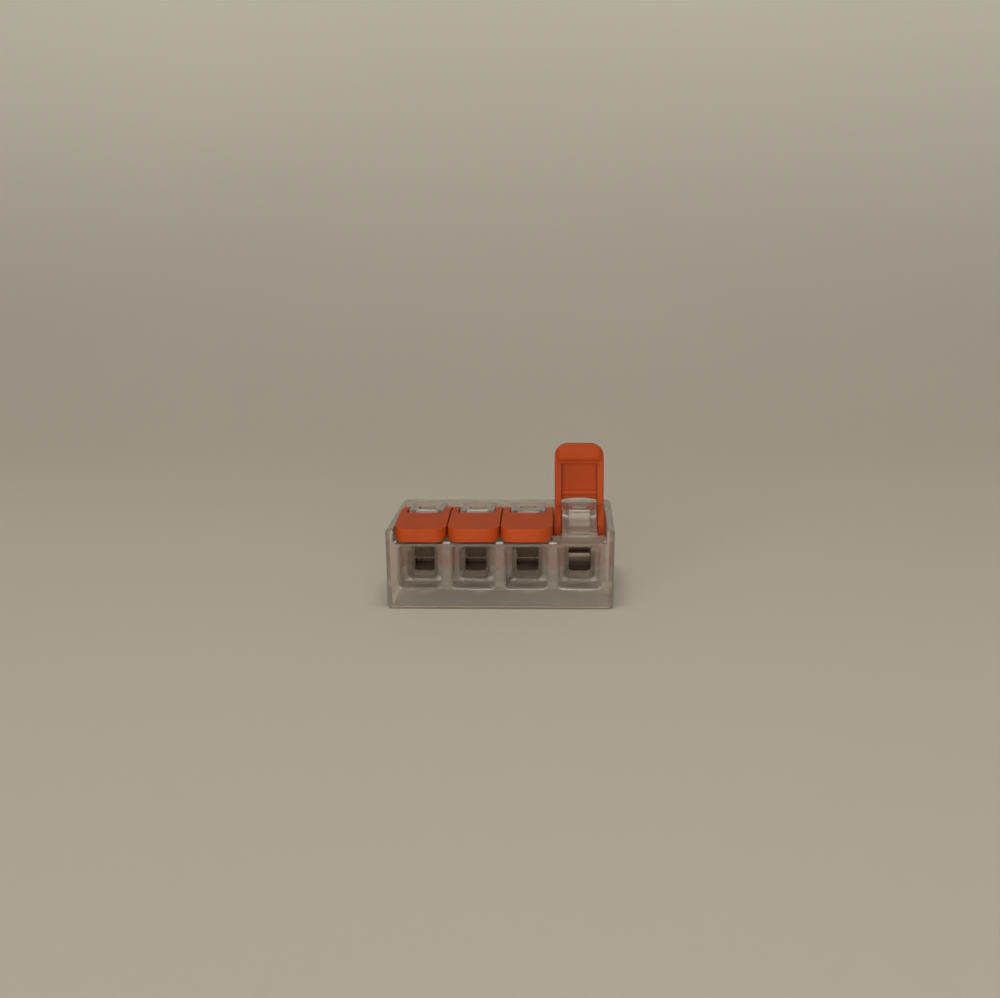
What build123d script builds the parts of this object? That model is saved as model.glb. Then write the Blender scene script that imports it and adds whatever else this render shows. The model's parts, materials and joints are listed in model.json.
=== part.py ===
from build123d import *
from math import cos, radians, sin
import os

# Lever wire connector with four poles in a row along X.
# The wire entries are in the front face, which looks along -Y. The origin is the centre of the footprint.
# "depth" is always measured backwards from the front face.

POLES = 4
PITCH = 5.6

# housing
BODY_DEPTH = 18.8
BODY_TOP = 8.6
WIDTH_AT_TOP = 24.2
WIDTH_AT_BASE = 23.9
UPRIGHT_RADIUS = 0.7
BASE_RADIUS = 0.45
TOP_RADIUS = 0.55
BAY_HALF_WIDTH = 11.25
BAY_FLOOR = 7.27
BAY_REAR = 14.9
TROUGH_FRONT = 2.8
TROUGH_FLOOR = 6.98
SLOT_FRONT = 5.0

# clear block that stands between the two cheeks of a lever
SADDLE_WIDTH = 3.8
SADDLE_TOP = 9.2
SADDLE_FRONT = 8.0
SADDLE_REAR = 13.2
SHELF_TOP = 7.7
SHELF_FRONT = 2.6
SHELF_REAR = 7.5
GROOVE_WIDTH = 2.3
GROOVE_DEPTH = 0.2
RAMP_LENGTH = 1.2
RAMP_TOE_LENGTH = 0.3
TEST_SLOT_DEPTH_PLACE = 9.7
TEST_SLOT_WIDTH = 1.9
TEST_SLOT_LENGTH = 1.3
TEST_SLOT_RADIUS = 0.3
TEST_SLOT_DEPTH = 0.35

# wire entry
ENTRY_WIDTH = 4.4
ENTRY_BOTTOM = 2.3
ENTRY_TOP = 6.75
ENTRY_DEPTH = 3.1
ENTRY_DRAFT = 0.08
ENTRY_RADIUS = 0.3
ENTRY_LIP = 0.18
FUNNEL_WIDTH = 3.3
FUNNEL_HEIGHT = 3.7
FUNNEL_REAR = 4.3
FUNNEL_RADIUS = 0.585
FUNNEL_BITE = 0.02
HOLE_WIDTH = 2.35
HOLE_HEIGHT = 2.8
HOLE_MIDDLE = 4.53
HOLE_RADIUS = 0.45
THUMB_HALF_WIDTH = 2.42
THUMB_FLOOR = 7.0
THUMB_BEND_DEPTH = 1.45
THUMB_BEND_RISE = 0.06
THUMB_LIP = 0.1
RIB_BEVEL = 0.25

# chambers behind the wire entries
CHAMBER_FRONT = 4.9
CHAMBER_WIDTH = 2.5
CHAMBER_FLOOR = 1.8
CHAMBER_ROOF = 7.0
REAR_ROOM_FRONT = 15.3
REAR_ROOM_HALF_WIDTH = 10.4
REAR_ROOM_FLOOR = 1.6
COVER_FRONT = 17.2
COVER_REAR = 18.7
COVER_GAP = 0.05
COVER_EDGE = 0.25
RIB_WIDTH = 1.6
RIB_INSET = 0.6
LUG_WAY_FLOOR = 3.5
LUG_WAY_ROOF = 6.1
LATCH_X = 5.6
LATCH_WIDTH = 2.4
LATCH_DEPTH = 17.5
LATCH_LENGTH = 0.6
LATCH_HEIGHT = 0.25
LATCH_ROOT = 0.3
MARK_PLACE = 13.5
MARK_RADIUS = 0.8
MARK_DEPTH = 0.1

# lever
PIVOT_DEPTH = 10.6
PIVOT_HEIGHT = 5.3
LEVER_WIDTH = 5.5
CHEEK_GAP = 3.95
CHEEK_RADIUS = 3.75
BOSS_RADIUS = 3.4
BOSS_GAP = 2.6
RUNNING_GAP = 0.05
SIDE_GAP = 0.07
TIP_FRONT = 0.05
TIP_BOTTOM = 7.2
TIP_TOP = 8.6
TIP_LENGTH = 2.3
TIP_BOTTOM_WIDTH = 4.5
TIP_CORNER_RADIUS = 1.5
TIP_SIDE_TOP = 8.4
TIP_HEEL = 0.6
CHEEK_CREST_DEPTH = 7.5
CHEEK_CREST_HEIGHT = 9.35
TIP_SHOULDER = 7.65
RIM_BOTTOM = 7.42
RIM_FRONT = 3.0
RIM_REAR = 6.95
PLATE_REAR = 6.5
PLATE_ARC_RADIUS = 9.0
PLATE_ARC_RISE = 0.22
REAR_CREST_ANGLE = 84
FRONT_FLANK_ANGLE = 160
CAM_SLOT_PLAY = 0.28
POCKET_CEILING = 8.25
CROSS_RIB = (5.35, 5.9)
CROSS_RIB_BOTTOM = 7.87
OPEN_ANGLE = 90.0
OPEN_POLE = 4

# clamp spring, one strip of steel per pole
STRIP = 0.4
STRIP_WIDTH = 2.4
BOW_DEPTH = 6.2
BOW_HEIGHT = 6.1
BOW_RADIUS = 0.6
LEG_LENGTH = 4.15
LEG_DROP = 33.0
LUG_PLACE = 3.0
LUG_DIAMETER = 0.6
LUG_SPAN = 3.7
BOW_FIXED_END = 225.0
BOW_SPLIT = 3.0
SPRING_BACK = 14.2
SPRING_FOOT_TIP = 12.4
SPRING_CORNER = 0.5
FOOT_GAP = 0.02

# busbar, a comb stamped from one sheet
BAR_TOP = 3.1
BAR_THICKNESS = 0.8
TONGUE_FRONT = 5.3
CROSSBAR_FRONT = 15.4
CROSSBAR_THICKNESS = 0.7
CROSSBAR_TOP = 5.6
BAR_HALF_WIDTH = 9.7
TONGUE_EDGE = 0.3

PIVOT = (PIVOT_DEPTH, PIVOT_HEIGHT)
BOW = (BOW_DEPTH, BOW_HEIGHT)
FAR = 30.0
# how far shapes run into each other where they are joined or cut
BITE = 0.1


def y_at(depth):
    """Y of a place that lies this deep behind the front face."""
    return depth - BODY_DEPTH / 2


def pole_x(pole):
    """X of a pole's centre, counted from 1 at the left."""
    return (pole - (POLES + 1) / 2) * PITCH


def around(centre, radius, degrees):
    """Point (depth, height) on a circle, with 0 degrees pointing backwards and 90 up."""
    angle = radians(degrees)
    return (centre[0] + radius * cos(angle), centre[1] + radius * sin(angle))


def side_outline(points):
    """Face in the side view through (depth, height) points."""
    return make_face(Polyline(*[(y_at(d), z) for d, z in points], close=True))


def side_circle(centre, radius):
    return Pos(y_at(centre[0]), centre[1]) * Circle(radius)


def side_box(depth_low, depth_high, bottom, top):
    size = (depth_high - depth_low, top - bottom)
    return Pos(y_at((depth_low + depth_high) / 2), (bottom + top) / 2) * Rectangle(*size)


def slab(face, x_low, x_high):
    """Side-view face drawn out along X."""
    return extrude(Plane.YZ.offset(x_low) * face, amount=x_high - x_low)


def both_sides(face, inner, outer):
    """The same slab on the left and on the right of X = 0."""
    return slab(face, inner, outer) + slab(face, -outer, -inner)


def front_window(width, height, radius, depth, middle):
    """Rounded rectangle parallel to the front face."""
    plane = Plane(origin=(0, y_at(depth), middle), x_dir=(1, 0, 0), z_dir=(0, -1, 0))
    return plane * RectangleRounded(width, height, radius)


def body_block():
    """Outer block with drafted ends and rounded edges."""
    half_base = WIDTH_AT_BASE / 2
    half_top = WIDTH_AT_TOP / 2
    end_view = make_face(
        Polyline((-half_base, 0), (half_base, 0), (half_top, BODY_TOP), (-half_top, BODY_TOP), close=True)
    )
    block = extrude(Plane.XZ.offset(-BODY_DEPTH / 2) * end_view, amount=BODY_DEPTH)
    uprights = block.edges().filter_by(lambda e: abs(e.tangent_at(0.5).Z) > 0.9)
    block = fillet(uprights, UPRIGHT_RADIUS)
    top_edges = block.edges().group_by(Axis.Z)[-1]
    block = fillet(top_edges, TOP_RADIUS)
    base_edges = block.edges().group_by(Axis.Z)[0]
    return fillet(base_edges, BASE_RADIUS)


def saddle_block():
    """Shelf under the lever's plate and the hump behind it."""
    outline = side_outline(
        [
            (SHELF_FRONT, CHAMBER_ROOF),
            (SHELF_FRONT, SHELF_TOP),
            (SHELF_REAR, SHELF_TOP),
            (SADDLE_FRONT, SADDLE_TOP),
            (SADDLE_REAR, SADDLE_TOP),
            (BAY_REAR + RAMP_TOE_LENGTH - RAMP_LENGTH, BAY_FLOOR + RAMP_TOE_LENGTH),
            (BAY_REAR + RAMP_TOE_LENGTH, BAY_FLOOR),
            (BAY_REAR + RAMP_TOE_LENGTH, CHAMBER_ROOF),
        ]
    )
    block = slab(outline, -SADDLE_WIDTH / 2, SADDLE_WIDTH / 2)
    groove = side_outline(
        [
            (0, SHELF_TOP - GROOVE_DEPTH),
            (SHELF_REAR + GROOVE_DEPTH, SHELF_TOP - GROOVE_DEPTH),
            (SADDLE_FRONT + GROOVE_DEPTH, SADDLE_TOP - GROOVE_DEPTH),
            (SADDLE_FRONT + GROOVE_DEPTH, FAR),
            (0, FAR),
        ]
    )
    return block - slab(groove, -GROOVE_WIDTH / 2, GROOVE_WIDTH / 2)


def cheek_slot():
    """Side view of the slot that a lever's cheeks turn in."""
    round_part = side_circle(PIVOT, CHEEK_RADIUS + SIDE_GAP)
    open_part = side_box(SLOT_FRONT, BAY_REAR, PIVOT_HEIGHT, FAR)
    trough = side_box(TROUGH_FRONT, BAY_REAR, TROUGH_FLOOR, FAR)
    return round_part + open_part + trough


def thumb_scoop():
    """Hollow under the tip of a lever, for a fingernail."""
    front = y_at(-1)
    rear = y_at(SHELF_FRONT)
    lip = SHELF_TOP - THUMB_LIP
    edge = Line((front, THUMB_FLOOR), (y_at(0), THUMB_FLOOR))
    bend = ThreePointArc(
        (y_at(0), THUMB_FLOOR), (y_at(THUMB_BEND_DEPTH), THUMB_FLOOR + THUMB_BEND_RISE), (rear, lip)
    )
    back = Line((rear, lip), (rear, SADDLE_TOP))
    lid = Line((rear, SADDLE_TOP), (front, SADDLE_TOP))
    close = Line((front, SADDLE_TOP), (front, THUMB_FLOOR))
    return slab(make_face(edge + bend + back + lid + close), -THUMB_HALF_WIDTH, THUMB_HALF_WIDTH)


def wire_entry():
    """Rounded funnel entry and the narrow hole behind it."""
    height = ENTRY_TOP - ENTRY_BOTTOM
    middle = (ENTRY_TOP + ENTRY_BOTTOM) / 2
    lead = front_window(ENTRY_WIDTH, height, ENTRY_RADIUS, -BITE, middle)
    inner = front_window(
        ENTRY_WIDTH - 2 * ENTRY_DRAFT, height - 2 * ENTRY_DRAFT, ENTRY_RADIUS, ENTRY_DEPTH, middle
    )
    mouth = loft([lead, inner])
    # chamfer round the mouth, carried on past the front face
    flare = ENTRY_WIDTH + 2 * (ENTRY_LIP + BITE)
    lip_front = front_window(flare, flare + height - ENTRY_WIDTH, ENTRY_RADIUS + ENTRY_LIP, -BITE, middle)
    lip_rear = front_window(ENTRY_WIDTH, height, ENTRY_RADIUS, ENTRY_LIP, middle)
    lip = loft([lip_front, lip_rear])
    wide = front_window(FUNNEL_WIDTH, FUNNEL_HEIGHT, FUNNEL_RADIUS, ENTRY_DEPTH - FUNNEL_BITE, middle)
    narrow = front_window(HOLE_WIDTH, HOLE_HEIGHT, HOLE_RADIUS, FUNNEL_REAR, HOLE_MIDDLE)
    hole = extrude(narrow, amount=-(CHAMBER_FRONT + BITE - FUNNEL_REAR))
    return mouth + lip + loft([wide, narrow]) + hole


def test_slot():
    """Shallow slot in the hump where a probe touches the spring."""
    plane = Plane(origin=(0, y_at(TEST_SLOT_DEPTH_PLACE), SADDLE_TOP - TEST_SLOT_DEPTH))
    return extrude(plane * RectangleRounded(TEST_SLOT_WIDTH, TEST_SLOT_LENGTH, TEST_SLOT_RADIUS), amount=1)


def pole_cuts():
    """Everything that is hollow in one pole of the housing."""
    chamber = slab(
        side_box(CHAMBER_FRONT, REAR_ROOM_FRONT + BITE, CHAMBER_FLOOR, CHAMBER_ROOF),
        -CHAMBER_WIDTH / 2,
        CHAMBER_WIDTH / 2,
    )
    window = side_circle(PIVOT, BOSS_RADIUS + RUNNING_GAP)
    journal = both_sides(window, CHAMBER_WIDTH / 2, SADDLE_WIDTH / 2 + BITE)
    lug_way = slab(
        side_box(PIVOT_DEPTH + BOSS_RADIUS - BITE, REAR_ROOM_FRONT + BITE, LUG_WAY_FLOOR, LUG_WAY_ROOF),
        -SADDLE_WIDTH / 2,
        SADDLE_WIDTH / 2,
    )
    slots = both_sides(cheek_slot(), SADDLE_WIDTH / 2, PITCH / 2)
    return chamber + journal + lug_way + slots + wire_entry() + thumb_scoop() + test_slot()


def front_bevel():
    """Bevel along the top edge of the front wall, under the tips of the levers."""
    outline = side_outline(
        [
            (-BITE, BAY_FLOOR - RIB_BEVEL - BITE),
            (RIB_BEVEL + BITE, BAY_FLOOR + BITE),
            (-BITE, BAY_FLOOR + BITE),
        ]
    )
    return slab(outline, -BAY_HALF_WIDTH, BAY_HALF_WIDTH)


def housing():
    """Clear front shell that carries everything."""
    body = body_block()
    bay = slab(side_box(-FAR, BAY_REAR, BAY_FLOOR, FAR), -BAY_HALF_WIDTH, BAY_HALF_WIDTH)
    body = body - bay - front_bevel()
    rear_room = slab(
        side_box(REAR_ROOM_FRONT, FAR, REAR_ROOM_FLOOR, CHAMBER_ROOF),
        -REAR_ROOM_HALF_WIDTH,
        REAR_ROOM_HALF_WIDTH,
    )
    body = body - rear_room
    for pole in range(1, POLES + 1):
        body = body + Pos(pole_x(pole), 0, 0) * saddle_block()
    for pole in range(1, POLES + 1):
        body = body - Pos(pole_x(pole), 0, 0) * pole_cuts()
    outer_slot = slab(cheek_slot(), PITCH * POLES / 2 - BITE, BAY_HALF_WIDTH)
    body = body - outer_slot - mirror(outer_slot, Plane.YZ)
    return body - latch(COVER_GAP) - base_marks()


def latch(clearance):
    """Nose on the top edge of the cover; with clearance, the pocket that it snaps into."""
    side = side_box(
        LATCH_DEPTH - clearance,
        LATCH_DEPTH + LATCH_LENGTH + clearance,
        CHAMBER_ROOF - LATCH_ROOT,
        CHAMBER_ROOF + LATCH_HEIGHT + clearance,
    )
    nose = slab(side, -LATCH_WIDTH / 2 - clearance, LATCH_WIDTH / 2 + clearance)
    return Pos(LATCH_X, 0, 0) * nose + Pos(-LATCH_X, 0, 0) * nose


def base_marks():
    """Shallow round marks that the mould's ejector pins leave under each pole."""
    marks = None
    for pole in range(1, POLES + 1):
        mark = Pos(pole_x(pole), y_at(MARK_PLACE), 0) * Cylinder(MARK_RADIUS, 2 * MARK_DEPTH)
        marks = mark if marks is None else marks + mark
    return marks


def rear_cover():
    """Clear plate that closes the back, with one rib per pole behind the busbar."""
    half_width = REAR_ROOM_HALF_WIDTH - COVER_GAP
    plate = slab(
        side_box(COVER_FRONT, COVER_REAR, REAR_ROOM_FLOOR + COVER_GAP, CHAMBER_ROOF - COVER_GAP),
        -half_width,
        half_width,
    )
    plate = fillet(plate.edges().group_by(Axis.Y)[-1], COVER_EDGE)
    rib_front = CROSSBAR_FRONT + CROSSBAR_THICKNESS + COVER_GAP
    rib = slab(
        side_box(rib_front, COVER_FRONT + BITE, REAR_ROOM_FLOOR + RIB_INSET, CHAMBER_ROOF - RIB_INSET),
        -RIB_WIDTH / 2,
        RIB_WIDTH / 2,
    )
    for pole in range(1, POLES + 1):
        plate = plate + Pos(pole_x(pole), 0, 0) * rib
    return plate + latch(0)


def busbar():
    """Tinned copper comb: a crossbar behind the levers and one tongue under each clamp."""
    crossbar = slab(
        side_box(CROSSBAR_FRONT, CROSSBAR_FRONT + CROSSBAR_THICKNESS, BAR_TOP - BAR_THICKNESS, CROSSBAR_TOP),
        -BAR_HALF_WIDTH,
        BAR_HALF_WIDTH,
    )
    tongue = slab(
        side_box(TONGUE_FRONT, CROSSBAR_FRONT + BITE, BAR_TOP - BAR_THICKNESS, BAR_TOP),
        -STRIP_WIDTH / 2,
        STRIP_WIDTH / 2,
    )
    front_edge = tongue.edges().group_by(Axis.Y)[0].sort_by(Axis.Z)[-1]
    tongue = fillet(front_edge, TONGUE_EDGE)
    bar = crossbar
    for pole in range(1, POLES + 1):
        bar = bar + Pos(pole_x(pole), 0, 0) * tongue
    return bar


def spring_arch():
    """Fixed part of a clamp spring: foot on the tongue, back, roof and most of the bow."""
    foot_height = BAR_TOP + STRIP / 2 + FOOT_GAP
    roof = BOW_HEIGHT + BOW_RADIUS
    corner = SPRING_CORNER
    foot = Line((y_at(SPRING_FOOT_TIP), foot_height), (y_at(SPRING_BACK - corner), foot_height))
    low_bend = RadiusArc(foot @ 1, (y_at(SPRING_BACK), foot_height + corner), -corner)
    back = Line(low_bend @ 1, (y_at(SPRING_BACK), roof - corner))
    high_bend = RadiusArc(back @ 1, (y_at(SPRING_BACK - corner), roof), -corner)
    top = Line(high_bend @ 1, (y_at(BOW_DEPTH), roof))
    bow = CenterArc((y_at(BOW_DEPTH), BOW_HEIGHT), BOW_RADIUS, 90, BOW_FIXED_END - 90)
    return strip_along(foot + low_bend + back + high_bend + top + bow, STRIP_WIDTH)


def strip_along(path, width):
    """Sheet of the spring's thickness along a side-view path."""
    face = trace(path, STRIP)
    return slab(face, -width / 2, width / 2)


def leg_start():
    return around(BOW, BOW_RADIUS, 270 - LEG_DROP)


def leg_point(distance):
    """Point on the closed clamping leg, this far from the bow."""
    start = leg_start()
    drop = radians(LEG_DROP)
    return (start[0] + distance * cos(drop), start[1] - distance * sin(drop))


def spring_leg():
    """Clamping leg in its closed place, with the lug that the lever's cams lift."""
    arc_start = BOW_FIXED_END + BOW_SPLIT
    arc = CenterArc((y_at(BOW_DEPTH), BOW_HEIGHT), BOW_RADIUS, arc_start, 270 - LEG_DROP - arc_start)
    tip = leg_point(LEG_LENGTH)
    leg = Line(arc @ 1, (y_at(tip[0]), tip[1]))
    strip = strip_along(arc + leg, STRIP_WIDTH)
    lug = slab(side_circle(leg_point(LUG_PLACE), LUG_DIAMETER / 2), -LUG_SPAN / 2, LUG_SPAN / 2)
    return strip + lug


def turned(point, centre, degrees):
    """Side-view point turned about a centre, from back towards up."""
    angle = radians(degrees)
    d = point[0] - centre[0]
    z = point[1] - centre[1]
    return (centre[0] + d * cos(angle) - z * sin(angle), centre[1] + d * sin(angle) + z * cos(angle))


def cam_point(share):
    """Where the lug lies in the closed lever's own frame once the lever has opened by this share."""
    lifted = turned(leg_point(LUG_PLACE), BOW, LEG_DROP * share)
    return turned(lifted, PIVOT, OPEN_ANGLE * share)


def cam_slot():
    """Curved slot in the bosses that lifts the lug as the lever opens."""
    ends = [cam_point(share) for share in (0, 0.5, 1)]
    arc = ThreePointArc(*[(y_at(d), z) for d, z in ends])
    return SlotArc(arc, height=LUG_DIAMETER + CAM_SLOT_PLAY)


def cheek_outline():
    """Side view of a cheek: a long rim that runs into a disc round the pivot."""
    rear_crest = around(PIVOT, CHEEK_RADIUS, REAR_CREST_ANGLE)
    front_flank = around(PIVOT, CHEEK_RADIUS, FRONT_FLANK_ANGLE)
    rim = side_outline(
        [
            (TIP_FRONT, TIP_SHOULDER),
            (TIP_FRONT, TIP_TOP),
            (CHEEK_CREST_DEPTH, CHEEK_CREST_HEIGHT),
            rear_crest,
            PIVOT,
            front_flank,
            (RIM_REAR, RIM_BOTTOM),
            (RIM_FRONT, RIM_BOTTOM),
        ]
    )
    return rim + side_circle(PIVOT, CHEEK_RADIUS)


def tip_block():
    """Solid tip, narrower below, that the fingernail lifts."""
    half_top = LEVER_WIDTH / 2
    half_bottom = TIP_BOTTOM_WIDTH / 2
    section = make_face(
        Polyline(
            (-half_bottom, TIP_BOTTOM),
            (half_bottom, TIP_BOTTOM),
            (half_top, TIP_SHOULDER),
            (half_top, TIP_SIDE_TOP),
            (-half_top, TIP_SIDE_TOP),
            (-half_top, TIP_SHOULDER),
            close=True,
        )
    )
    block = extrude(Plane.XZ.offset(-y_at(TIP_FRONT)) * section, amount=-TIP_LENGTH)
    rear_edge = block.edges().group_by(Axis.Y)[-1].sort_by(Axis.Z)[0]
    return chamfer(rear_edge, TIP_HEEL)


def lever():
    """Closed lever of a pole at X = 0."""
    half = LEVER_WIDTH / 2
    inner = CHEEK_GAP / 2
    body = slab(cheek_outline(), -half, half) + tip_block()
    under = side_outline(
        [
            (TIP_LENGTH, POCKET_CEILING),
            (PLATE_REAR, POCKET_CEILING),
            (PLATE_REAR, FAR),
            (FAR, FAR),
            (FAR, -FAR),
            (TIP_LENGTH, -FAR),
        ]
    )
    body = body - slab(under, -inner, inner)
    rib = side_box(CROSS_RIB[0], CROSS_RIB[1], CROSS_RIB_BOTTOM, POCKET_CEILING + BITE)
    body = body + slab(rib, -inner - BITE, inner + BITE)
    arc_centre = y_at(PLATE_REAR) + PLATE_ARC_RADIUS - PLATE_ARC_RISE
    arc = Pos(0, arc_centre, 0) * Cylinder(PLATE_ARC_RADIUS, FAR)
    body = body - (arc & slab(side_box(0, PLATE_REAR + PLATE_ARC_RISE, 0, FAR), -inner, inner))
    bosses = both_sides(side_circle(PIVOT, BOSS_RADIUS), BOSS_GAP / 2, inner + BITE)
    body = body + bosses
    body = body - both_sides(cam_slot(), BOSS_GAP / 2 - BITE, inner)
    plan = Pos(0, y_at(TIP_FRONT) + FAR / 2, 0) * RectangleRounded(LEVER_WIDTH, FAR, TIP_CORNER_RADIUS)
    return body & extrude(plan, amount=FAR)


def open_turn():
    """Turn that carries a closed lever to its open place."""
    return Axis((0, y_at(PIVOT_DEPTH), PIVOT_HEIGHT), (1, 0, 0)), -OPEN_ANGLE


def placed(pole, shape):
    """Shape of one pole as a solid at that pole's place."""
    return Pos(pole_x(pole), 0, 0) * shape


def write(node, shape):
    shape.label = node
    export_step(shape, os.path.join("parts", node + ".step"))


os.makedirs("parts", exist_ok=True)
write("housing", housing())
write("rear_cover", rear_cover())
write("busbar", busbar())
for pole in range(1, POLES + 1):
    closed_lever = lever()
    leg = spring_leg()
    if pole == OPEN_POLE:
        axis, angle = open_turn()
        closed_lever = closed_lever.rotate(axis, angle)
        bow_axis = Axis((0, y_at(BOW_DEPTH), BOW_HEIGHT), (1, 0, 0))
        leg = leg.rotate(bow_axis, LEG_DROP)
    write(f"lever_{pole}", placed(pole, closed_lever))
    write(f"clamp_spring_{pole}", placed(pole, spring_arch()))
    write(f"clamp_leg_{pole}", placed(pole, leg))
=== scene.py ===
import json
import math

import bmesh
import bpy
from mathutils import Matrix, Vector

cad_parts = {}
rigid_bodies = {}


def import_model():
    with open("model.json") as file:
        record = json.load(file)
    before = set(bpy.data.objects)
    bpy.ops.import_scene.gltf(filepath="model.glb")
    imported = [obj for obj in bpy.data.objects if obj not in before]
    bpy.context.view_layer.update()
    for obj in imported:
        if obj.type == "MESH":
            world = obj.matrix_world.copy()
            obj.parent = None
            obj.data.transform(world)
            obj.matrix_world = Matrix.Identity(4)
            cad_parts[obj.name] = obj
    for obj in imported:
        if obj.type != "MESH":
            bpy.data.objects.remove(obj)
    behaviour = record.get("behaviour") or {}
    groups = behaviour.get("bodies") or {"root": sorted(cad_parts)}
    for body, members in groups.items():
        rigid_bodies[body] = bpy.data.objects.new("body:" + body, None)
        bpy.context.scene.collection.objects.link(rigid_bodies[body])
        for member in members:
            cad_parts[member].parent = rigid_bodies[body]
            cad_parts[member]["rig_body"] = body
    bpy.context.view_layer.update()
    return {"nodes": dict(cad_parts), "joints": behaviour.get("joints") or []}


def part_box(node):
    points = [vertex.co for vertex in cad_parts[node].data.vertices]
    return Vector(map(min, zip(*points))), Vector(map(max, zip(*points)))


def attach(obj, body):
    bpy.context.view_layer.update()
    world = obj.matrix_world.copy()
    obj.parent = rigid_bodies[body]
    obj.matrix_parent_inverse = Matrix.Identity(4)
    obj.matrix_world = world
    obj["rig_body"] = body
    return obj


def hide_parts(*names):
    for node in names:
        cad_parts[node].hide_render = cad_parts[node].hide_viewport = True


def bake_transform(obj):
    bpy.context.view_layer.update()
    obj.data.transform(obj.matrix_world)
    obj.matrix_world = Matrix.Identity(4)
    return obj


# Lever wire connector: a clear housing with four orange levers, spring-steel clamps and a tinned busbar.
# Everything is in metres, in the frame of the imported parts: x along the poles, y to the back, z up.
# Angles are in degrees until they reach a sine or a cosine.

MM = 0.001
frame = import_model()
POLES = sorted(int(name.split("_")[1]) for name in frame["nodes"] if name.startswith("lever_"))
JOINTS = {joint["name"]: joint for joint in frame["joints"]}

# edge rounding of the moulded and stamped pieces; edges shorter than the shortest stay sharp
HOUSING_EDGE = 0.07 * MM
COVER_EDGE = 0.07 * MM
LEVER_EDGE = 0.13 * MM
BUSBAR_EDGE = 0.05 * MM
SHORTEST_HOUSING_EDGE = 0.5 * MM
SHORTEST_EDGE = 0.3 * MM
EDGE_STEPS = 2
SHARP_ANGLE = math.radians(28)
FLAT_ANGLE = math.radians(0.5)
WELD_DISTANCE = 0.001 * MM
NORMAL_WEIGHT = 80

# clamp spring strip; the bow's place comes from the leg's joint
STRIP = 0.4 * MM
STRIP_WIDTH = 2.4 * MM
STRIP_EDGE = 0.06 * MM
BOW_RADIUS = 0.6 * MM
BOW_STEPS = 28
LEG_STEPS = 12
LEG_LENGTH = 4.15 * MM
LEG_DROP = 33
LUG_RADIUS = 0.3 * MM
LUG_SPAN = 3.7 * MM
LUG_SIDES = 24
LUG_PLACE = 3.0 * MM
FOOT_LENGTH = 1.8 * MM
SPRING_CORNER = 0.5 * MM
BEND_STEPS = 8

# where a noise starts and stops changing a colour
RAMP_START = 0.3
RAMP_END = 0.7

# camera
CAMERA_PLACE = Vector((7.442, -169.632, 39.554)) * MM
CAMERA_RIGHT = Vector((0.998978, 0.044646, -0.007013))
CAMERA_UP = Vector((-0.000725, 0.170991, 0.985272))
CAMERA_LENS = 56.2
CAMERA_SENSOR = 36.0
CAMERA_SHIFT_Y = 0.0008
CAMERA_CLIP = 0.005

# floor and backdrop
ROOM_FRONT = -0.9
ROOM_BACK = 0.75
ROOM_HEIGHT = 1.4
ROOM_HALF_WIDTH = 1.6
ROOM_BEND = 0.65
ROOM_BEND_STEPS = 48
PAINT_COLOUR = (0.70, 0.67, 0.595)
PAINT_SHADE = 0.97
PAINT_ROUGHNESS = 0.9
WORLD_COLOUR = (0.80, 0.76, 0.68, 1)
WORLD_STRENGTH = 0.24


# ---------------------------------------------------------------- materials

def new_material(name):
    """New node material, with its nodes, its links and its surface shader."""
    material = bpy.data.materials.new(name)
    material.use_nodes = True
    nodes = material.node_tree.nodes
    return material, nodes, material.node_tree.links, nodes["Principled BSDF"]


def noise(nodes, links, scale, detail, stretch=(1, 1, 1)):
    """Noise in the piece's own coordinates."""
    place = nodes.new("ShaderNodeTexCoord")
    mapping = nodes.new("ShaderNodeMapping")
    mapping.inputs["Scale"].default_value = stretch
    texture = nodes.new("ShaderNodeTexNoise")
    texture.inputs["Scale"].default_value = scale
    texture.inputs["Detail"].default_value = detail
    links.new(place.outputs["Object"], mapping.inputs["Vector"])
    links.new(mapping.outputs["Vector"], texture.inputs["Vector"])
    return texture.outputs["Fac"]


def ramp(nodes, links, factor, low, high):
    """Colour between two colours."""
    node = nodes.new("ShaderNodeValToRGB")
    node.color_ramp.elements[0].position = RAMP_START
    node.color_ramp.elements[0].color = (*low, 1)
    node.color_ramp.elements[1].position = RAMP_END
    node.color_ramp.elements[1].color = (*high, 1)
    links.new(factor, node.inputs["Fac"])
    return node.outputs["Color"]


def spread(nodes, links, factor, low, high):
    """Value between low and high."""
    node = nodes.new("ShaderNodeMapRange")
    node.inputs["To Min"].default_value = low
    node.inputs["To Max"].default_value = high
    links.new(factor, node.inputs["Value"])
    return node.outputs["Result"]


def bump(nodes, links, height, distance, strength):
    """Normal of a surface raised by a height."""
    node = nodes.new("ShaderNodeBump")
    node.inputs["Distance"].default_value = distance
    node.inputs["Strength"].default_value = strength
    links.new(height, node.inputs["Height"])
    return node.outputs["Normal"]


def clear_polycarbonate():
    """Clear moulding with slight flow marks and a warm tint."""
    material, nodes, links, shader = new_material("clear_polycarbonate")
    flow = noise(nodes, links, scale=260, detail=3, stretch=(1, 1, 0.35))
    tint = ramp(nodes, links, flow, low=(0.88, 0.76, 0.67), high=(0.93, 0.83, 0.74))
    links.new(tint, shader.inputs["Base Color"])
    links.new(spread(nodes, links, flow, low=0.20, high=0.27), shader.inputs["Roughness"])
    links.new(bump(nodes, links, flow, distance=0.01 * MM, strength=0.25), shader.inputs["Normal"])
    shader.inputs["Transmission Weight"].default_value = 0.86
    shader.inputs["IOR"].default_value = 1.585
    return material


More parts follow.
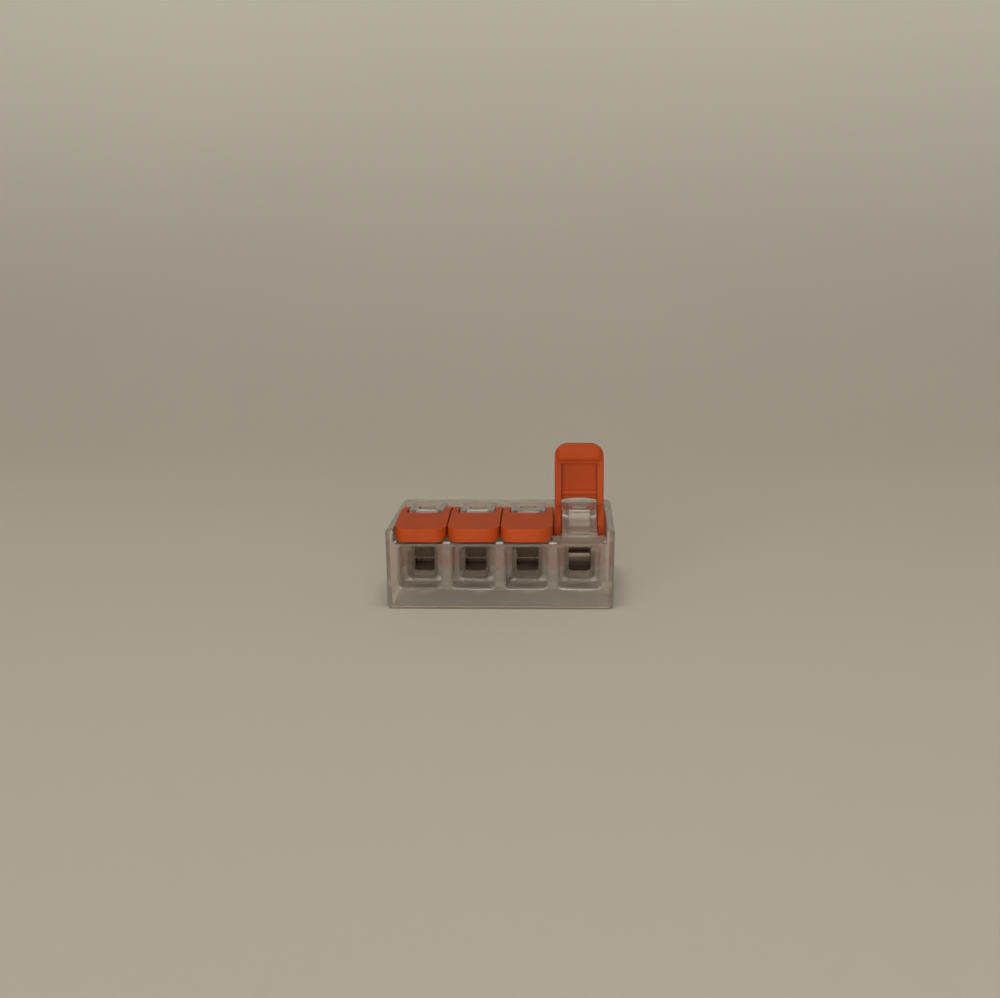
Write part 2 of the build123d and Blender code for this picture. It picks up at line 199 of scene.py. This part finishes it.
def orange_polyamide():
    """Satin moulded orange with a fine grain."""
    material, nodes, links, shader = new_material("orange_polyamide")
    cloud = noise(nodes, links, scale=350, detail=4)
    grain = noise(nodes, links, scale=9000, detail=3)
    colour = ramp(nodes, links, cloud, low=(0.46, 0.062, 0.008), high=(0.53, 0.077, 0.012))
    links.new(colour, shader.inputs["Base Color"])
    links.new(spread(nodes, links, cloud, low=0.46, high=0.58), shader.inputs["Roughness"])
    links.new(bump(nodes, links, grain, distance=0.006 * MM, strength=0.35), shader.inputs["Normal"])
    shader.inputs["IOR"].default_value = 1.53
    shader.inputs["Specular IOR Level"].default_value = 0.13
    shader.inputs["Subsurface Weight"].default_value = 0.25
    shader.inputs["Subsurface Radius"].default_value = (1.0, 0.25, 0.08)
    shader.inputs["Subsurface Scale"].default_value = 0.6 * MM
    return material


def spring_steel():
    """Rolled strip with fine lengthwise brushing."""
    material, nodes, links, shader = new_material("spring_steel")
    brush = noise(nodes, links, scale=900, detail=4, stretch=(6, 0.5, 0.5))
    colour = ramp(nodes, links, brush, low=(0.38, 0.29, 0.225), high=(0.50, 0.39, 0.31))
    links.new(colour, shader.inputs["Base Color"])
    links.new(spread(nodes, links, brush, low=0.38, high=0.52), shader.inputs["Roughness"])
    links.new(bump(nodes, links, brush, distance=0.004 * MM, strength=0.4), shader.inputs["Normal"])
    shader.inputs["Metallic"].default_value = 0.7
    return material


def tinned_copper():
    """Dull tin plating with a soft mottle."""
    material, nodes, links, shader = new_material("tinned_copper")
    mottle = noise(nodes, links, scale=700, detail=5)
    colour = ramp(nodes, links, mottle, low=(0.38, 0.34, 0.29), high=(0.50, 0.46, 0.40))
    links.new(colour, shader.inputs["Base Color"])
    links.new(spread(nodes, links, mottle, low=0.28, high=0.48), shader.inputs["Roughness"])
    links.new(bump(nodes, links, mottle, distance=0.006 * MM, strength=0.3), shader.inputs["Normal"])
    shader.inputs["Metallic"].default_value = 1.0
    return material


def pale_paint():
    """Plain matt paint for the floor and backdrop."""
    material, nodes, links, shader = new_material("pale_paint")
    cloud = noise(nodes, links, scale=6, detail=2)
    darker = tuple(PAINT_SHADE * c for c in PAINT_COLOUR)
    links.new(ramp(nodes, links, cloud, low=darker, high=PAINT_COLOUR), shader.inputs["Base Color"])
    shader.inputs["Roughness"].default_value = PAINT_ROUGHNESS
    return material


CLEAR = clear_polycarbonate()
ORANGE = orange_polyamide()
STEEL = spring_steel()
TIN = tinned_copper()


# ---------------------------------------------------------------- pieces

def add_object(name, mesh, material):
    """New object in the scene, of one material."""
    mesh.materials.clear()
    mesh.materials.append(material)
    piece = bpy.data.objects.new(name, mesh)
    bpy.context.scene.collection.objects.link(piece)
    return piece


def shade(piece):
    """Smooth shading that keeps the sharp edges."""
    piece.data.shade_smooth()
    piece.data.set_sharp_from_angle(angle=SHARP_ANGLE)


def flatten_normals(piece):
    """Keeps the flat faces flat next to the rounded edges, by normals weighted by face area."""
    weighting = piece.modifiers.new("normals", "WEIGHTED_NORMAL")
    weighting.mode = "FACE_AREA"
    weighting.weight = NORMAL_WEIGHT
    weighting.keep_sharp = True
    graph = bpy.context.evaluated_depsgraph_get()
    mesh = bpy.data.meshes.new_from_object(piece.evaluated_get(graph))
    piece.modifiers.clear()
    piece.data = mesh


def round_edges(work, width, shortest):
    """Rounds the long sharp outer edges; the short ones, in tight corners, stay as they are."""
    chosen = [
        edge for edge in work.edges
        if len(edge.link_faces) == 2
        and edge.calc_face_angle_signed() > SHARP_ANGLE
        and edge.calc_length() > shortest
    ]
    bmesh.ops.bevel(
        work, geom=chosen, offset=width, offset_type="OFFSET", segments=EDGE_STEPS, profile=0.5,
        affect="EDGES", clamp_overlap=False, miter_outer="SHARP",
    )


def rounded_copy(node, name, material, width, shortest=SHORTEST_EDGE):
    """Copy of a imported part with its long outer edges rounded; it stands for that part."""
    mesh = frame["nodes"][node].data.copy()
    work = bmesh.new()
    work.from_mesh(mesh)
    bmesh.ops.remove_doubles(work, verts=work.verts, dist=WELD_DISTANCE)
    bmesh.ops.dissolve_limit(work, angle_limit=FLAT_ANGLE, verts=work.verts, edges=work.edges)
    round_edges(work, width, shortest)
    work.to_mesh(mesh)
    work.free()
    piece = add_object(name, mesh, material)
    shade(piece)
    flatten_normals(piece)
    body = frame["nodes"][node]["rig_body"]
    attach(piece, body)
    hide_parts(node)


def strip_section():
    """Corners of the strip's rounded cross-section, as (across, thickness) from its middle."""
    half_width, half = STRIP_WIDTH / 2, STRIP / 2
    corners = []
    for sign_x, sign_t, start in ((1, 1, 0), (-1, 1, 90), (-1, -1, 180), (1, -1, 270)):
        for step in range(EDGE_STEPS + 1):
            turn = math.radians(start + 90 * step / EDGE_STEPS)
            across = sign_x * (half_width - STRIP_EDGE) + STRIP_EDGE * math.cos(turn)
            thick = sign_t * (half - STRIP_EDGE) + STRIP_EDGE * math.sin(turn)
            corners.append((across, thick))
    return corners


def bent_strip(work, middle_x, path):
    """Strip of steel along side-view points (y, z), closed at both ends."""
    rings = []
    for index, (y, z) in enumerate(path):
        before = path[max(index - 1, 0)]
        after = path[min(index + 1, len(path) - 1)]
        along = Vector((after[0] - before[0], after[1] - before[1])).normalized()
        ring = []
        for across, thick in strip_section():
            place = (middle_x + across, y - along.y * thick, z + along.x * thick)
            ring.append(work.verts.new(place))
        rings.append(ring)
    for ring, following in zip(rings, rings[1:]):
        for index in range(len(ring)):
            ahead = (index + 1) % len(ring)
            work.faces.new((ring[index], ring[ahead], following[ahead], following[index]))
    work.faces.new(list(reversed(rings[0])))
    work.faces.new(rings[-1])


def arc_points(centre, radius, start, end, steps):
    """Side-view points of an arc; 0 degrees points to the back and 90 up."""
    turns = [math.radians(start + (end - start) * step / steps) for step in range(steps + 1)]
    return [
        (centre[0] + radius * math.cos(turn), centre[1] + radius * math.sin(turn))
        for turn in turns
    ]


def lug_rod(work, middle_x, place):
    """Round lug across the leg, with bevelled ends."""
    rings = []
    half = LUG_SPAN / 2
    profile = [(-half, LUG_RADIUS - STRIP_EDGE), (-half + STRIP_EDGE, LUG_RADIUS)]
    profile += [(half - STRIP_EDGE, LUG_RADIUS), (half, LUG_RADIUS - STRIP_EDGE)]
    for across, radius in profile:
        circle = arc_points(place, radius, 0, 360, LUG_SIDES)[:-1]
        rings.append([work.verts.new((middle_x + across, y, z)) for y, z in circle])
    for ring, following in zip(rings, rings[1:]):
        for index in range(LUG_SIDES):
            ahead = (index + 1) % LUG_SIDES
            work.faces.new((ring[index], ring[ahead], following[ahead], following[index]))
    work.faces.new(rings[0])
    work.faces.new(rings[-1])


def finished_mesh(work, name):
    """Mesh with its faces turned outwards."""
    bmesh.ops.recalc_face_normals(work, faces=work.faces)
    mesh = bpy.data.meshes.new(name)
    work.to_mesh(mesh)
    work.free()
    return mesh


def straight(start, end):
    """Side-view points along a straight stretch, ends included."""
    shares = [step / LEG_STEPS for step in range(LEG_STEPS + 1)]
    return [tuple(a + (b - a) * share for a, b in zip(start, end)) for share in shares]


def spring_arch(pole, bow):
    """Foot, back and roof of a clamp spring, which stay still in the housing."""
    low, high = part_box(f"clamp_spring_{pole}")
    back, roof, foot = high.y - STRIP / 2, high.z - STRIP / 2, low.z + STRIP / 2
    inner = back - SPRING_CORNER
    path = straight((inner - FOOT_LENGTH + SPRING_CORNER, foot), (inner, foot))
    path += arc_points((inner, foot + SPRING_CORNER), SPRING_CORNER, 270, 360, BEND_STEPS)[1:]
    path += arc_points((inner, roof - SPRING_CORNER), SPRING_CORNER, 0, 90, BEND_STEPS)
    path += straight((inner, roof), (bow.y, roof))[1:]
    work = bmesh.new()
    bent_strip(work, bow.x, path)
    piece = add_object(f"spring_arch_{pole}", finished_mesh(work, f"spring_arch_{pole}"), STEEL)
    shade(piece)
    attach(piece, "housing")
    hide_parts(f"clamp_spring_{pole}")


def spring_leg(pole, bow):
    """Bow and clamping leg with its lug, drawn in one pose: open when its lever stands open, else
    closed.
    """
    is_open = JOINTS[f"lever_{pole}_hinge"]["range_deg"][0] < 0
    last_turn = 270 if is_open else 270 - LEG_DROP
    path = arc_points((bow.y, bow.z), BOW_RADIUS, 90, last_turn, BOW_STEPS)
    heading = math.radians(last_turn + 90)
    leg_start = path[-1]
    tip, lug = [
        (leg_start[0] + distance * math.cos(heading), leg_start[1] + distance * math.sin(heading))
        for distance in (LEG_LENGTH, LUG_PLACE)
    ]
    path += straight(leg_start, tip)[1:]
    work = bmesh.new()
    bent_strip(work, bow.x, path)
    lug_rod(work, bow.x, lug)
    piece = add_object(f"spring_leg_{pole}", finished_mesh(work, f"spring_leg_{pole}"), STEEL)
    shade(piece)
    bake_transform(piece)
    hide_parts(f"clamp_leg_{pole}")


rounded_copy(
    "housing", "housing_moulding", CLEAR, HOUSING_EDGE,
    shortest=SHORTEST_HOUSING_EDGE,
)
rounded_copy("rear_cover", "rear_cover_moulding", CLEAR, COVER_EDGE)
rounded_copy("busbar", "busbar_stamping", TIN, BUSBAR_EDGE)
for pole in POLES:
    rounded_copy(f"lever_{pole}", f"lever_{pole}_moulding", ORANGE, LEVER_EDGE)
for pole in POLES:
    bow = Vector(JOINTS[f"clamp_leg_{pole}_flex"]["pos_m"])
    spring_arch(pole, bow)
    spring_leg(pole, bow)


# ---------------------------------------------------------------- surroundings

def sweep_room():
    """Floor that curves up into a backdrop behind the object."""
    bend_start = ROOM_BACK - ROOM_BEND
    profile = [(ROOM_FRONT, 0.0), (bend_start, 0.0)]
    for step in range(1, ROOM_BEND_STEPS + 1):
        turn = math.pi / 2 * step / ROOM_BEND_STEPS
        y = bend_start + ROOM_BEND * math.sin(turn)
        z = ROOM_BEND - ROOM_BEND * math.cos(turn)
        profile.append((y, z))
    profile.append((ROOM_BACK, ROOM_HEIGHT))
    work = bmesh.new()
    sides = (-ROOM_HALF_WIDTH, ROOM_HALF_WIDTH)
    rows = [[work.verts.new((x, y, z)) for y, z in profile] for x in sides]
    for left, right, next_left, next_right in zip(rows[0], rows[1], rows[0][1:], rows[1][1:]):
        work.faces.new((left, right, next_right, next_left))
    mesh = bpy.data.meshes.new("room")
    work.to_mesh(mesh)
    work.free()
    room = add_object("room", mesh, pale_paint())
    room.data.shade_smooth()


def soft_light(name, place, target, size, power, colour, through_glass=True, beam=180):
    """Rectangular light aimed at a target; through_glass lets the clear pieces refract it."""
    data = bpy.data.lights.new(name, "AREA")
    data.shape = "RECTANGLE"
    data.size, data.size_y = size
    data.energy = power
    data.color = colour
    data.spread = math.radians(beam)
    light = bpy.data.objects.new(name, data)
    light.location = place
    light.rotation_euler = (Vector(target) - Vector(place)).to_track_quat("-Z", "Y").to_euler()
    light.visible_camera = False
    light.visible_transmission = through_glass
    bpy.context.scene.collection.objects.link(light)


def add_camera():
    """Camera in front of the connector, a little above it."""
    data = bpy.data.cameras.new("camera")
    data.lens = CAMERA_LENS
    data.sensor_width = CAMERA_SENSOR
    data.shift_y = CAMERA_SHIFT_Y
    data.clip_start = CAMERA_CLIP
    camera = bpy.data.objects.new("camera", data)
    back = CAMERA_RIGHT.cross(CAMERA_UP)
    turn = Matrix((CAMERA_RIGHT, CAMERA_UP, back)).transposed()
    camera.matrix_world = Matrix.Translation(CAMERA_PLACE) @ turn.to_4x4()
    bpy.context.scene.collection.objects.link(camera)
    bpy.context.scene.camera = camera


def add_world():
    """Even warm light from all around."""
    world = bpy.data.worlds.new("world")
    world.use_nodes = True
    background = world.node_tree.nodes["Background"]
    background.inputs["Color"].default_value = WORLD_COLOUR
    background.inputs["Strength"].default_value = WORLD_STRENGTH
    bpy.context.scene.world = world


bpy.context.scene.view_settings.view_transform = "Standard"
sweep_room()
add_world()
add_camera()
soft_light(
    "front_light", place=(-0.05, -0.60, 0.10), target=(0, 0, 0.01), size=(0.60, 0.16),
    power=2.0, colour=(1, 0.97, 0.91),
)
soft_light(
    "edge_light", place=(0.0, -0.12, 0.50), target=(0, 0, 0), size=(0.26, 0.08),
    power=0.7, colour=(1, 0.93, 0.84), through_glass=False,
)
soft_light(
    "wall_light", place=(0.0, 0.20, 0.80), target=(0, 0.66, 0.20), size=(1.2, 0.3),
    power=0.75, colour=(1, 0.98, 0.94), through_glass=False, beam=70,
)
